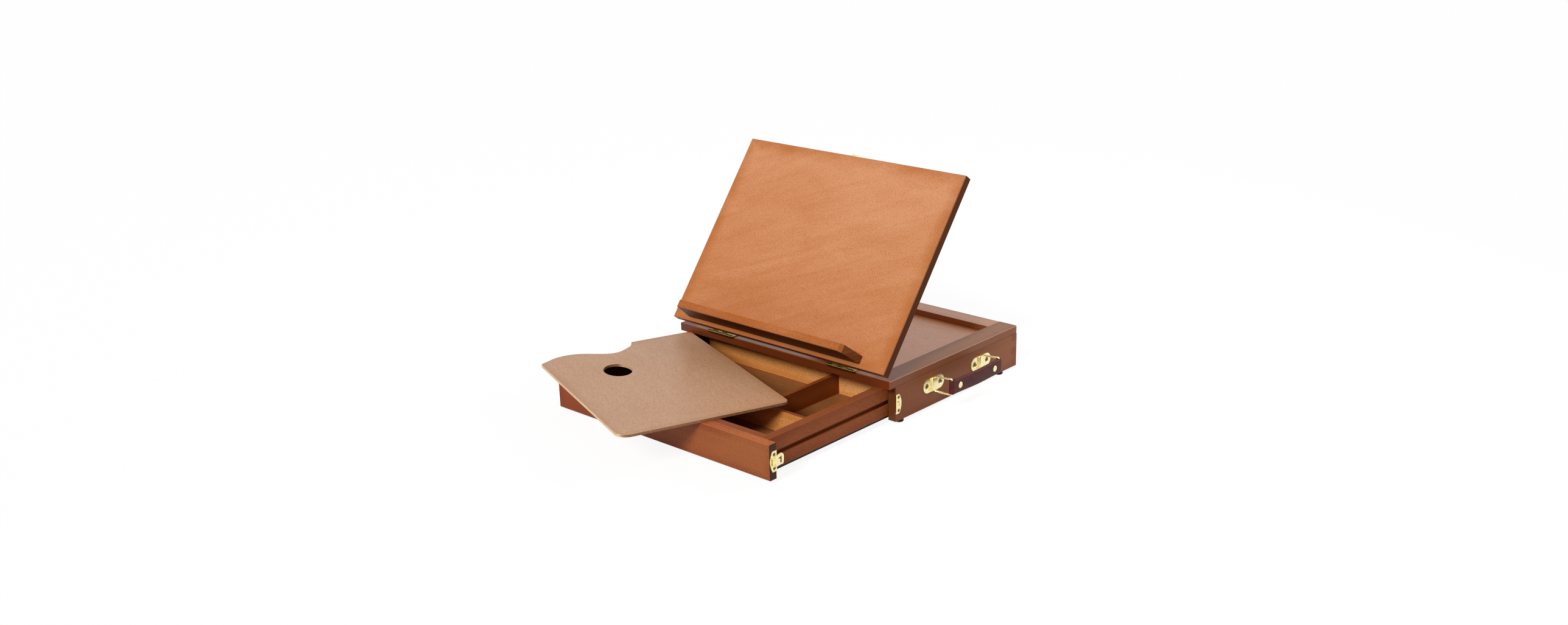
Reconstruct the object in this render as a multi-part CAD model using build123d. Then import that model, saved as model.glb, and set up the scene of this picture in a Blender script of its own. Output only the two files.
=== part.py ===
from build123d import *
import math
import os

# A tabletop pochade box: a shallow wooden case with one long drawer, a drawing board hinged to the
# front edge of its top frame, a prop under the board, a hand palette and a leather carrying handle.
# Millimetres. +X runs along the width towards the handle, -Y is the way the drawer opens, +Z is up.
# The origin is on the bench, midway along the width and midway along the length of the opened box.

# ---------------------------------------------------------------- driving dimensions
case_width = 338.0
case_depth = 252.0
side_height = 42.0           # case sides and back, below the top frame
wall = 10.7                  # thickness of the case sides and back
frame_thick = 10.0
rail_side = 25.7             # width of the two rails that run front to back
rail_end = 25.0              # width of the front and back rails
panel_thick = 3.0            # plywood floor of the recess in the top
panel_rebate = 6.0
front_lip = 10.8             # the frame overhangs the sides by the drawer front's thickness
foot_height = 4.0
foot_diameter = 10.5
foot_places = (24.0, 222.0)  # behind the front face
front = 17.0                 # y of the frame's front face
case_middle = 4.5            # x of the case's middle: the palette overhangs further on the left
finger_count = 5             # fingers in each rear corner joint

drawer_out = 202.0           # how far the drawer stands open
drawer_width = 315.0
drawer_length = 240.4        # from the false front's face to the back of the drawer
drawer_wall = 10.4
drawer_end_wall = 9.6
drawer_front_height = 41.2
drawer_skirt = 3.0           # the drawer box starts this far above the false front's lower edge
drawer_ply = 2.3
divider_thick = 5.4
divider_height = 25.5
cross_divider = 98.3         # from the false front's face to the near side of the cross divider
long_divider = 63.6          # x of the long divider's left side
groove_low = 19.0            # underside of the runner groove above the case's lower edge
groove_high = 24.8
groove_deep = 5.6
runner_gap = 0.3

board_thick = 11.4
board_gap = 3.6              # room for the hinge leaves between the frame and the closed board
board_tilt = 52.7            # degrees from flat
axis_ahead = 2.5             # the hinge axis stands this far in front of the frame
ledge_depth = 38.0
ledge_thick = 9.8
ledge_up = 4.7               # from the board's lower edge to the ledge's lower face
ledge_left = -144.0
ledge_right = 132.0
ledge_left_slant = 11.0       # how much shorter the left end is at its outer edge
ledge_right_slant = 4.0
ledge_chamfer = 4.0          # at the right end's outer corner
ledge_ease = 0.7
seam_ease = 0.5              # the small groove where the top frame meets the sides

leaf_thick = 0.9
leaf_length = 40.0
leaf_depth = 16.0
leaf_places = (-96.5, 97.5)
knuckle_radius = 1.8
knuckle_count = 5
pin_radius = 0.85
running_clearance = 0.06

prop_reach = 105.0           # from the board's hinge axis to the prop's own axis
prop_length = 105.93         # from the prop's axis to the centre of its rounded foot
prop_thick = 6.5
prop_width = 52.0
prop_drop = 3.65             # the prop's axis below the board's underside
ear_thick = 4.0
rack_height = 3.2
rack_width = 58.0
rack_notch = 2.2
rack_angles = (30.0, 41.0, 52.7, 63.0, 72.7)

plate_thick = 0.9
latch_plate = (10.2, 23.7)
strike_plate = (9.5, 23.6)
latch_middle = 21.3          # height of the drawer catches above the case's lower edge
catch_knuckle = 1.3
catch_pin_radius = 0.6
catch_thick = 0.8
catch_hinge = 6.4            # from the plate's straight edge to the catch's hinge
tongue_height = 1.5
lid_catch_reach = 4.0        # the lid's catch is longer by the gap that it spans

bracket_length = 39.5
bracket_height = 17.0
bracket_thick = 1.0
bracket_screws = 25.0
bracket_places = (81.2, 175.2)
bracket_middle = 26.2
bridge_size = (3.4, 10.0, 15.0)
wire_radius = 1.1
bail_reach = 22.3
bail_heights = (18.2, 19.2)  # between wire centres, at the bracket and at the strap
bail_swing = 10.5            # degrees from square to the side, towards the back
pivot_out = 2.2              # from the case side to the bail's axis
strap_width = 16.4
strap_leather = 2.3
strap_rivets = 12.5          # from each wire to the rivet beside it
rivet_radius = 3.85

palette_length = 276.0
palette_width = 203.0
palette_thick = 3.0
palette_turn = -21.0         # degrees about Z
palette_corner = (-149.6, -2.5)   # its back left corner, y from the frame's front face
palette_lift = 0.3           # air between the palette and the drawer's edges
palette_shoulder = 79.0      # straight part of its left end, from the back edge
palette_rounds = (6.0, 8.0, 15.0)     # back left, back right and front right corners
palette_tip = [(24.0, -203.0), (20.4, -202.0), (18.0, -199.2)]
palette_scoop = [(8.8, -183.0), (5.6, -162.5), (11.0, -144.5), (22.5, -125.5), (26.2, -107.0), (14.5, -87.5)]
thumb_hole = (43.0, 33.0)
thumb_place = (85.0, -130.0)

brad_radius = 0.9
brad_length = 24.0
screw_head = 2.2
screw_shank = 1.1
screw_sink = 1.1             # height of the countersunk head
screw_length = 8.0
cross_size = (2.6, 0.6, 0.6)      # cross recess in a screw head: length, width, depth
bracket_screw_head = 3.2
bracket_screw_sink = 1.8
bracket_cross_size = (3.8, 0.9, 0.9)
bracket_dimple = (3.9, 0.5)       # rim radius and depth of the dimple round each bracket screw

# ---------------------------------------------------------------- worked-out levels
base = foot_height
deck = base + side_height
top = deck + frame_thick
back = front + case_depth
half = case_width / 2
inside = half - wall
drawer_face = front - drawer_out
drawer_top = base + 0.2 + drawer_front_height
drawer_low = base + drawer_skirt
drawer_floor = drawer_low + drawer_ply
hinge_y = front - axis_ahead
hinge_z = top + board_gap / 2
lid_low = top + board_gap
lid_top = lid_low + board_thick


def slab(x0, x1, y0, y1, z0, z1):
    """A box between two corners."""
    return Pos((x0 + x1) / 2, (y0 + y1) / 2, (z0 + z1) / 2) * Box(x1 - x0, y1 - y0, z1 - z0)


def rod(start, along, radius, length):
    """A cylinder from start, in the direction along."""
    return Plane(origin=start, z_dir=along) * extrude(Circle(radius), length)


def ease(part, axis, size=0.8, **at):
    """Chamfer the edges along axis whose middle lies at the given coordinates."""
    chosen = [
        edge
        for edge in part.edges().filter_by(axis)
        if all(abs(getattr(edge.center(), name.upper()) - value) < 0.05 for name, value in at.items())
    ]
    return chamfer(chosen, size)


def tilted(part):
    """Turn a piece of the closed board up to where the board stands."""
    return part.rotate(Axis((0, hinge_y, hinge_z), (1, 0, 0)), board_tilt)


def mirrored(part):
    return part.mirror(Plane.YZ)


def both_sides(pieces):
    """Pieces of the right-hand side, with their mirror images on the left."""
    return pieces + [mirrored(piece) for piece in pieces]


def places_on(plane, places):
    """Locations on a plane, one at each place (x, y)."""
    return [plane * Pos(x, y, 0) for x, y in places]


def screw_holes(places, length=screw_length, radius=screw_head, sink=screw_sink):
    """Countersunk holes, one below each place, that the screws fill."""
    lowest = (Align.CENTER, Align.CENTER, Align.MIN)
    head = Pos(0, 0, -sink) * Cone(screw_shank, radius, sink, align=lowest)
    shank = Pos(0, 0, -length) * Cylinder(screw_shank, length - sink, align=lowest)
    return [place * (head + shank) for place in places]


def screws(places, length=screw_length, radius=screw_head, sink=screw_sink, cross=cross_size):
    """Cross-headed countersunk screws, each with its head flush at its place."""
    long, wide, deep = cross
    recess = Box(long, wide, 2 * deep) + Box(wide, long, 2 * deep)
    holes = screw_holes(places, length, radius, sink)
    return [hole - place * recess for hole, place in zip(holes, places)]


# ---------------------------------------------------------------- case: sides and finger-jointed back
finger = side_height / finger_count


def corner_fingers(first):
    """Every second block of the rear right corner joint, counted from the lower edge."""
    return [
        slab(inside, half, back - wall, back, base + k * finger, base + (k + 1) * finger)
        for k in range(first, finger_count, 2)
    ]


case_side_right = slab(inside, half, front + front_lip, back, base, deck) - corner_fingers(0)
case_back = slab(-half, half, back - wall, back, base, deck) - both_sides(corner_fingers(1))

# ---------------------------------------------------------------- top frame and recess floor
rail_inner = half - rail_side
panel_half = rail_inner + panel_rebate
panel_front = front + rail_end - panel_rebate
panel_back = back - rail_end + panel_rebate
recess_panel = slab(-panel_half, panel_half, panel_front, panel_back, deck, deck + panel_thick)
top_rail_right = slab(rail_inner, half, front, back, deck, top)
top_rail_right = ease(top_rail_right, Axis.Y, x=half, z=top)
top_rail_right = ease(top_rail_right, Axis.Z, x=half) - recess_panel
top_rail_right = ease(top_rail_right, Axis.Y, seam_ease, x=half, z=deck)
top_rail_left = mirrored(top_rail_right)
top_rail_front = slab(-rail_inner, rail_inner, front, front + rail_end, deck, top)
top_rail_front = ease(top_rail_front, Axis.X, y=front) - recess_panel
top_rail_back = slab(-rail_inner, rail_inner, back - rail_end, back, deck, top)
top_rail_back = ease(top_rail_back, Axis.X, y=back, z=top) - recess_panel

# brads that hold the side rails down, and the feet under the sides
side_middle = half - wall / 2
brad_places = [(side_middle, front + 41.2), (side_middle, back - 6.2)]
brads = both_sides([rod((x, y, top), (0, 0, -1), brad_radius, brad_length) for x, y in brad_places])
foot = extrude(Circle(foot_diameter / 2), foot_height)
foot = chamfer(foot.edges().filter_by(GeomType.CIRCLE).sort_by(Axis.Z)[0], 0.8)
feet = [
    Pos(side * side_middle, front + place, 0) * foot for side in (-1, 1) for place in foot_places
]

# runners that carry the drawer by the grooves in its sides
runner_low = base + groove_low + runner_gap
runner_high = base + groove_high - runner_gap
runner_tip = drawer_width / 2 - groove_deep + runner_gap
drawer_runner_right = slab(
    runner_tip, inside, front + front_lip + 2, back - wall - 1, runner_low, runner_high
)

# ---------------------------------------------------------------- notched rack for the prop's foot
def foot_place(angle):
    """y of the middle of the prop's foot when the board stands at an angle."""
    turn = math.radians(angle)
    drop = prop_drop - board_gap / 2
    return hinge_y + (prop_reach + prop_length) * math.cos(turn) + drop * math.sin(turn)


rack_floor = deck + panel_thick
rack_top = rack_floor + rack_height
rack_front = foot_place(rack_angles[-1]) - 12
rack_back = foot_place(rack_angles[0]) + 10
prop_rack = slab(-rack_width / 2, rack_width / 2, rack_front, rack_back, rack_floor, rack_top)
for angle in rack_angles:
    place = foot_place(angle)
    notch = Polyline(
        (place + 2.5, rack_top - rack_notch),
        (place + 2.5, rack_top + 1),
        (place - 7, rack_top + 1),
        (place - 7, rack_top),
        close=True,
    )
    prop_rack -= extrude(Plane.YZ * make_face(notch), rack_width, both=True)

# ---------------------------------------------------------------- drawer
box_half = drawer_width / 2
box_inner = box_half - drawer_wall
front_back = drawer_face + front_lip
wall_back = front_back + drawer_end_wall
drawer_end = drawer_face + drawer_length
rear_inner = drawer_end - drawer_end_wall
cross_front = drawer_face + cross_divider
cross_back = cross_front + divider_thick
divider_top = drawer_floor + divider_height

drawer_front = slab(-half, half, drawer_face, front_back, base + 0.2, drawer_top)
drawer_front = ease(drawer_front, Axis.X, y=drawer_face)
drawer_box_front = slab(-box_inner, box_inner, front_back, wall_back, drawer_floor, drawer_top)
drawer_side_right = slab(box_inner, box_half, front_back, drawer_end, drawer_floor, drawer_top)
drawer_side_right -= slab(
    box_half - groove_deep, half, front_back - 1, back, base + groove_low, base + groove_high
)
drawer_back = slab(-box_inner, box_inner, rear_inner, drawer_end, drawer_floor, drawer_top)
drawer_bottom = slab(-box_half, box_half, front_back, drawer_end, drawer_low, drawer_floor)
divider_cross = slab(-box_inner, box_inner, cross_front, cross_back, drawer_floor, divider_top)
divider_long = slab(
    long_divider, long_divider + divider_thick, cross_back, rear_inner, drawer_floor, divider_top
)

# ---------------------------------------------------------------- drawing board and its ledge
easel_board = slab(-half, half, front, back, lid_low, lid_top)
easel_board = ease(easel_board, Axis.X)
easel_board = ease(easel_board, Axis.Y)

ledge_low = front + ledge_up
ledge_outline = Polyline(
    (ledge_left, 0),
    (ledge_right, 0),
    (ledge_right - ledge_right_slant, ledge_depth - ledge_chamfer),
    (ledge_right - ledge_right_slant - ledge_chamfer, ledge_depth),
    (ledge_left + ledge_left_slant, ledge_depth),
    close=True,
)
ledge_plane = Plane(origin=(0, ledge_low + ledge_thick, lid_top), x_dir=(1, 0, 0), z_dir=(0, -1, 0))
canvas_ledge = ledge_plane * extrude(make_face(ledge_outline), ledge_thick)
canvas_ledge = ease(canvas_ledge, Axis.X, ledge_ease, z=lid_top + ledge_depth)

# ---------------------------------------------------------------- butt hinges of the board
def hinge_leaf(middle, first, low, high):
    """A hinge leaf in the plane of the closed board, with the strips that carry its knuckles."""
    left = middle - leaf_length / 2
    leaf = slab(left, left + leaf_length, front + 0.2, front + leaf_depth, low, high)
    pitch = leaf_length / knuckle_count
    bore = rod((left, hinge_y, hinge_z), (1, 0, 0), pin_radius + running_clearance, leaf_length)
    for k in range(first, knuckle_count, 2):
        start = left + k * pitch + 0.1
        leaf += slab(start, start + pitch - 0.2, hinge_y, front + 0.3, low, high)
        leaf += rod((start, hinge_y, hinge_z), (1, 0, 0), knuckle_radius, pitch - 0.2)
    return leaf - bore


def hinge_pin(middle):
    """A hinge pin with a rounded head at its right-hand end."""
    start = middle - leaf_length / 2 + 0.1
    pin = rod((start, hinge_y, hinge_z), (1, 0, 0), pin_radius, leaf_length + 0.2)
    head = rod((start + leaf_length, hinge_y, hinge_z), (1, 0, 0), 1.35, 1.8)
    return pin + fillet(head.edges().filter_by(GeomType.CIRCLE).sort_by(Axis.X)[-1], 0.8)


leaf_screws = [(-14, leaf_depth - 5), (0, leaf_depth - 8), (14, leaf_depth - 5)]
frame_leaf_screws = []
board_leaf_screws = []
hinges = {}
for name, middle in zip(("left", "right"), leaf_places):
    on_frame = Plane(origin=(middle, front, top + leaf_thick), z_dir=(0, 0, 1))
    under_board = Plane(origin=(middle, front, lid_low - leaf_thick), x_dir=(-1, 0, 0), z_dir=(0, 0, -1))
    frame_places = places_on(on_frame, leaf_screws)
    board_places = places_on(under_board, leaf_screws)
    frame_leaf_screws += frame_places
    board_leaf_screws += board_places
    case_leaf = hinge_leaf(middle, 0, top, top + leaf_thick)
    board_leaf = hinge_leaf(middle, 1, lid_low - leaf_thick, lid_low)
    hinges[f"hinge_case_leaf_{name}"] = case_leaf - screw_holes(frame_places)
    hinges[f"hinge_board_leaf_{name}"] = tilted(board_leaf - screw_holes(board_places))
    hinges[f"hinge_pin_{name}"] = hinge_pin(middle)

# ---------------------------------------------------------------- prop under the board
prop_y = hinge_y + prop_reach
prop_z = lid_low - prop_drop
prop_half = prop_width / 2
foot_y = prop_y + prop_length
prop_profile = Plane.YZ * (
    Pos(prop_y, prop_z) * Circle(prop_thick / 2)
    + Pos(foot_y, prop_z) * Circle(prop_thick / 2)
    + Pos((prop_y + foot_y) / 2, prop_z) * Rectangle(prop_length, prop_thick)
)
prop_leaf = extrude(prop_profile, prop_half, both=True)
prop_pin = rod((-prop_half - ear_thick, prop_y, prop_z), (1, 0, 0), 1.2, prop_width + 2 * ear_thick)
prop_leaf -= rod((-prop_half - 1, prop_y, prop_z), (1, 0, 0), 1.2 + running_clearance, prop_width + 2)
ear = slab(prop_half + 0.4, prop_half + ear_thick, prop_y - 7, prop_y + 7, prop_z - 2.6, lid_low)
ear = fillet(ear.edges().filter_by(Axis.X).group_by(Axis.Z)[0], 2.4) - prop_pin
prop_ears = both_sides([ear])


def swung_prop(part):
    """Fold the prop out to where its foot stands in the rack, then tilt it with the board."""
    folded = part.rotate(Axis((0, prop_y, prop_z), (1, 0, 0)), -2 * board_tilt)
    return tilted(folded)


# ---------------------------------------------------------------- catches
# Local frame of a catch: x runs from the plate towards the strike and is 0 at the plate's straight
# edge, y runs along the plate, z points out of the wood.
def bowed_plate(width, height, corner):
    """A D-shaped plate with its straight edge on x = 0 and its bowed edge at x = width."""
    side = math.copysign(1, width)
    end = corner * side
    outline = Polyline((end, height / 2), (0, height / 2), (0, -height / 2), (end, -height / 2))
    bow = ThreePointArc((end, -height / 2), (width, 0), (end, height / 2))
    return extrude(make_face(outline + bow), plate_thick)


latch_screws = [(-3.9, -7.8), (-3.9, 7.8)]
strike_screws = [(4.4, -8.1), (4.4, 8.1)]
catch_window = [(1.1, 1.7), (6.5, 3.7), (6.5, -3.9), (4.5, -3.9), (4.5, 0.9)]


def catch_rod(radius, length):
    """A cylinder on the catch's hinge axis."""
    return rod((-catch_hinge, -length / 2, plate_thick + catch_knuckle), (0, 1, 0), radius, length)


def catch_base():
    """The screwed plate, with the two outer knuckles of its catch."""
    plate = bowed_plate(-latch_plate[0], latch_plate[1], 6.6)
    for start in (-5.0, 3.0):
        barrel = rod((-catch_hinge, start, plate_thick + catch_knuckle), (0, 1, 0), catch_knuckle, 2)
        web = slab(
            -catch_hinge - catch_knuckle,
            -catch_hinge + catch_knuckle,
            start,
            start + 2,
            plate_thick - 0.2,
            plate_thick + catch_knuckle,
        )
        plate += barrel + web
    return plate - catch_rod(catch_pin_radius + running_clearance, 12)


def catch_pin():
    return catch_rod(catch_pin_radius, 10.4)


def catch_leaf(reach=0.0):
    """The hooked leaf: a middle knuckle, a waist, and a rounded head with the tongue's window."""
    low = plate_thick + 0.1
    outline = Polyline(
        (-catch_hinge, 2.8), (-3.2, 2.8), (-1.6, 5.4 - reach * 0.4), (1.5 + reach, 6.2), (5.6 + reach, 7.0)
    )
    outline += ThreePointArc((5.6 + reach, 7.0), (9.1 + reach, 5.0), (10.2 + reach, 1.2))
    outline += Polyline(
        (10.2 + reach, 1.2),
        (9.9 + reach, -3.6),
        (9.0 + reach, -6.3),
        (5.2 + reach, -6.0),
        (0, -6.7),
        (-1.6, -5.4),
        (-3.2, -2.8),
        (-catch_hinge, -2.8),
        (-catch_hinge, 2.8),
    )
    leaf = Pos(0, 0, low) * extrude(make_face(outline), catch_thick)
    leaf += catch_rod(catch_knuckle - 0.1, 5.6)
    leaf -= catch_rod(catch_pin_radius + running_clearance, 12)
    window = Polyline([(x + reach, y) for x, y in catch_window], close=True)
    return leaf - extrude(make_face(window), 5)


def strike(tongue_at=5.15):
    """The strike plate: a bowed plate with an upright tongue lanced out of it below a short slit."""
    plate = bowed_plate(strike_plate[0], strike_plate[1], 5.4)
    plate -= slab(1.6, 6.0, 2.5, 3.2, -1, 2)
    tongue = slab(tongue_at, tongue_at + 0.8, -3.2, 2.4, plate_thick - 0.2, plate_thick + tongue_height)
    return plate + fillet(tongue.edges().filter_by(Axis.X).group_by(Axis.Z)[-1], 0.6)


drawer_catch_plane = Plane(
    origin=(half, front_back - 0.1, base + latch_middle), x_dir=(0, 1, 0), z_dir=(1, 0, 0)
)
side_strike_plane = Plane(
    origin=(half, front + front_lip, base + latch_middle), x_dir=(0, 1, 0), z_dir=(1, 0, 0)
)
lid_catch_plane = Plane(origin=(0, back, lid_low + 0.2), x_dir=(0, 0, -1), z_dir=(0, 1, 0))
lid_strike_plane = Plane(origin=(0, back, top - 0.4), x_dir=(0, 0, -1), z_dir=(0, 1, 0))


def raised(plane):
    """The outer face of a plate that lies on plane."""
    return plane.offset(plate_thick)


latch_places = places_on(raised(drawer_catch_plane), latch_screws)
strike_places = places_on(raised(side_strike_plane), strike_screws)
lid_latch_places = places_on(raised(lid_catch_plane), latch_screws)
lid_strike_places = places_on(raised(lid_strike_plane), strike_screws)

latch_plate_right = (drawer_catch_plane * catch_base()) - screw_holes(latch_places)
latch_leaf_right = drawer_catch_plane * catch_leaf()
latch_pin_right = drawer_catch_plane * catch_pin()
strike_plate_right = (side_strike_plane * strike()) - screw_holes(strike_places)
lid_latch_plate = (lid_catch_plane * catch_base()) - screw_holes(lid_latch_places)
lid_latch_leaf = lid_catch_plane * catch_leaf(lid_catch_reach)
lid_latch_pin = lid_catch_plane * catch_pin()
strike_plate_lid = (lid_strike_plane * strike()) - screw_holes(lid_strike_places)

# ---------------------------------------------------------------- carrying handle on the right side
pivot_x = half + pivot_out
handle_z = base + bracket_middle


def bracket(place):
    """An oblong bracket with the raised bridge that the bail turns in."""
    middle = (half, front + place, handle_z)
    face = Plane(origin=middle, x_dir=(0, 1, 0), z_dir=(1, 0, 0))
    plate = face * extrude(SlotOverall(bracket_length, bracket_height), bracket_thick)
    bridge = Pos(half + bridge_size[0] / 2, front + place, handle_z) * Box(*bridge_size)
    bridge = fillet(bridge.edges().filter_by(Axis.Z).group_by(Axis.X)[-1], 1.0)
    bore = rod((pivot_x, front + place, handle_z - 10), (0, 0, 1), wire_radius + running_clearance, 20)
    return plate + bridge - bore


def bail(place):
    """A wire loop, square to the side: a leg in the bracket, two arms and a leg in the strap."""
    near, far = bail_heights[0] / 2, bail_heights[1] / 2
    corners = [(0, near), (bail_reach, far), (bail_reach, -far), (0, -near)]
    loop = FilletPolyline(*corners, radius=1.6, close=True)
    path = Plane(origin=(pivot_x, front + place, handle_z), x_dir=(1, 0, 0), z_dir=(0, -1, 0)) * loop
    return sweep(Plane(origin=path @ 0, z_dir=path % 0) * Circle(wire_radius), path=path)


def swung(part, place, angle=bail_swing):
    """Turn a piece about the axis of the bail at place."""
    return part.rotate(Axis((pivot_x, front + place, 0), (0, 0, 1)), angle)


dimple_floor = half + bracket_thick - bracket_dimple[1]
bracket_plane = Plane(origin=(dimple_floor, front, handle_z), x_dir=(0, 1, 0), z_dir=(1, 0, 0))
bracket_screw_places = places_on(
    bracket_plane,
    [(place + side * bracket_screws / 2, 0) for place in bracket_places for side in (-1, 1)],
)
bracket_screw = {"radius": bracket_screw_head, "sink": bracket_screw_sink}
bracket_holes = screw_holes(bracket_screw_places, **bracket_screw)
dimple = Cone(bracket_screw_head, bracket_dimple[0], bracket_dimple[1])
bracket_holes += [place * Pos(0, 0, bracket_dimple[1] / 2) * dimple for place in bracket_screw_places]
bracket_front, bracket_rear = [bracket(place) - bracket_holes for place in bracket_places]
bail_front = swung(bail(bracket_places[0]), bracket_places[0])
bail_rear = swung(bail(bracket_places[1]), bracket_places[1])

# The strap is one strip folded back at both ends: its loops hold the bails and its layers are
# riveted together between them.  Profile in plan, from the front bail's outer leg.
swing = math.radians(bail_swing)
strap_x = pivot_x + bail_reach * math.cos(swing)
strap_y = front + bracket_places[0] + bail_reach * math.sin(swing)
strap_span = bracket_places[1] - bracket_places[0]
loop_inner = wire_radius + 0.15
loop_outer = loop_inner + strap_leather
strap_back = loop_outer - 2 * strap_leather
strap_profile = make_face(
    Polyline(
        (loop_outer, 0),
        (loop_outer, strap_span),
        (-loop_outer, strap_span),
        (strap_back, strap_span - 14),
        (strap_back, 14),
        (-loop_outer, 0),
        close=True,
    )
)
for centre, inward in ((0, 1), (strap_span, -1)):
    strap_profile += Pos(0, centre) * Circle(loop_outer)
    hollow = Polyline(
        (loop_inner, centre), (-loop_inner, centre), (loop_inner - 0.2, centre + 8 * inward), close=True
    )
    strap_profile -= Pos(0, centre) * Circle(loop_inner)
    strap_profile -= make_face(hollow)
handle_strap = Pos(strap_x, strap_y, handle_z - strap_width / 2) * extrude(strap_profile, strap_width)


def strap_rivet(along):
    """A dome rivet through the strap, closed by a flat washer behind."""
    face = Plane(origin=(strap_x + loop_outer, strap_y + along, handle_z), z_dir=(1, 0, 0))
    dome = Pos(0, 0, 1.4 - 6.0) * Sphere(6.0) & Pos(0, 0, 1) * Cylinder(rivet_radius, 2)
    shank = Pos(0, 0, -strap_leather) * Cylinder(1.3, 2 * strap_leather)
    washer = Pos(0, 0, -2 * strap_leather - 0.3) * Cylinder(2.6, 0.6)
    return face * (dome + shank + washer)


rivets = [strap_rivet(along) for along in (strap_rivets, strap_span - strap_rivets)]
handle_strap -= rivets

# ---------------------------------------------------------------- hand palette
# Local frame: origin at the back left corner, x along the length, y towards the back edge.
back_left, back_right, front_right = palette_rounds
palette_line = Line((0, -palette_shoulder), (0, -back_left))
palette_line += CenterArc((back_left, -back_left), back_left, 180, -90)
palette_line += Line((back_left, 0), (palette_length - back_right, 0))
palette_line += CenterArc((palette_length - back_right, -back_right), back_right, 90, -90)
palette_line += Line((palette_length, -back_right), (palette_length, front_right - palette_width))
palette_line += CenterArc(
    (palette_length - front_right, front_right - palette_width), front_right, 0, -90
)
palette_line += Line((palette_length - front_right, -palette_width), palette_tip[0])
palette_line += ThreePointArc(*palette_tip)
palette_line += Spline(
    palette_tip[-1],
    *palette_scoop,
    (0, -palette_shoulder),
    tangents=[(-0.5, 1), (-1, 0.45)],
)
palette = extrude(make_face(palette_line), palette_thick)
palette -= Pos(*thumb_place) * extrude(Ellipse(thumb_hole[0] / 2, thumb_hole[1] / 2), palette_thick)
palette = palette.rotate(Axis.Z, palette_turn)
palette = Pos(palette_corner[0], front + palette_corner[1], drawer_top + palette_lift) * palette

# ---------------------------------------------------------------- holes for the fasteners
ledge_screw_length = board_thick + 12
ledge_middle = (0, ledge_low + ledge_thick / 2, lid_low)
ledge_screw_plane = Plane(origin=ledge_middle, x_dir=(-1, 0, 0), z_dir=(0, 0, -1))
ledge_screw_places = places_on(ledge_screw_plane, [(-95, 0), (5, 0), (105, 0)])
board_screw_places = board_leaf_screws + lid_latch_places

case_side_right -= screw_holes(strike_places)
case_side_right -= brads
case_side_left = mirrored(case_side_right)
case_side_right -= bracket_holes
case_back -= screw_holes(lid_strike_places) + brads
top_rail_left -= brads
top_rail_right -= brads
top_rail_front -= screw_holes(frame_leaf_screws)
top_rail_back -= screw_holes(lid_strike_places)
drawer_front -= both_sides(screw_holes(latch_places))
ledge_holes = screw_holes(ledge_screw_places, ledge_screw_length)
easel_board -= screw_holes(board_screw_places) + ledge_holes
canvas_ledge -= ledge_holes
board_screws = screws(board_screw_places) + screws(ledge_screw_places, ledge_screw_length)

# ---------------------------------------------------------------- nodes
parts = {
    "case_side_left": case_side_left,
    "case_side_right": case_side_right,
    "case_back": case_back,
    "top_rail_left": top_rail_left,
    "top_rail_right": top_rail_right,
    "top_rail_front": top_rail_front,
    "top_rail_back": top_rail_back,
    "recess_panel": recess_panel,
    "drawer_runner_left": mirrored(drawer_runner_right),
    "drawer_runner_right": drawer_runner_right,
    "prop_rack": prop_rack,
    "feet": feet,
    "rail_brads": brads,
    "strike_plate_left": mirrored(strike_plate_right),
    "strike_plate_right": strike_plate_right,
    "strike_plate_lid": strike_plate_lid,
    "handle_bracket_front": bracket_front,
    "handle_bracket_rear": bracket_rear,
    "case_screws": screws(frame_leaf_screws + lid_strike_places)
    + screws(bracket_screw_places, cross=bracket_cross_size, **bracket_screw)
    + both_sides(screws(strike_places)),
    "easel_board": tilted(easel_board),
    "canvas_ledge": tilted(canvas_ledge),
    "board_screws": [tilted(part) for part in board_screws],
    "prop_ears": [tilted(part) for part in prop_ears],
    "prop_pin": tilted(prop_pin),
    "prop_leaf": swung_prop(prop_leaf),
    "lid_latch_plate": tilted(lid_latch_plate),
    "lid_latch_pin": tilted(lid_latch_pin),
    "lid_latch_leaf": tilted(lid_latch_leaf),
    "drawer_front": drawer_front,
    "drawer_box_front": drawer_box_front,
    "drawer_side_left": mirrored(drawer_side_right),
    "drawer_side_right": drawer_side_right,
    "drawer_back": drawer_back,
    "drawer_bottom": drawer_bottom,
    "divider_cross": divider_cross,
    "divider_long": divider_long,
    "drawer_latch_plate_left": mirrored(latch_plate_right),
    "drawer_latch_plate_right": latch_plate_right,
    "drawer_latch_pins": both_sides([latch_pin_right]),
    "drawer_screws": both_sides(screws(latch_places)),
    "drawer_latch_leaf_left": mirrored(latch_leaf_right),
    "drawer_latch_leaf_right": latch_leaf_right,
    "bail_front": bail_front,
    "bail_rear": bail_rear,
    "handle_strap": handle_strap,
    "strap_rivets": rivets,
    "palette": palette,
}
parts.update(hinges)

os.makedirs("parts", exist_ok=True)
for name, part in parts.items():
    shape = Compound(children=part) if isinstance(part, list) else part
    export_step(Pos(case_middle, 0, 0) * shape, f"parts/{name}.step")
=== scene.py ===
"""Tabletop pochade box: its wood, brass and leather finishes, its stitched strap and a plain studio.

The rigid pieces come from the CAD frame as they are and are only given their finishes here. The leather strap
and its stitches are modelled here, in place of the frame's plain strap.
"""

import math

import bmesh
import bpy
from mathutils import Euler, Matrix, Vector


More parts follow.
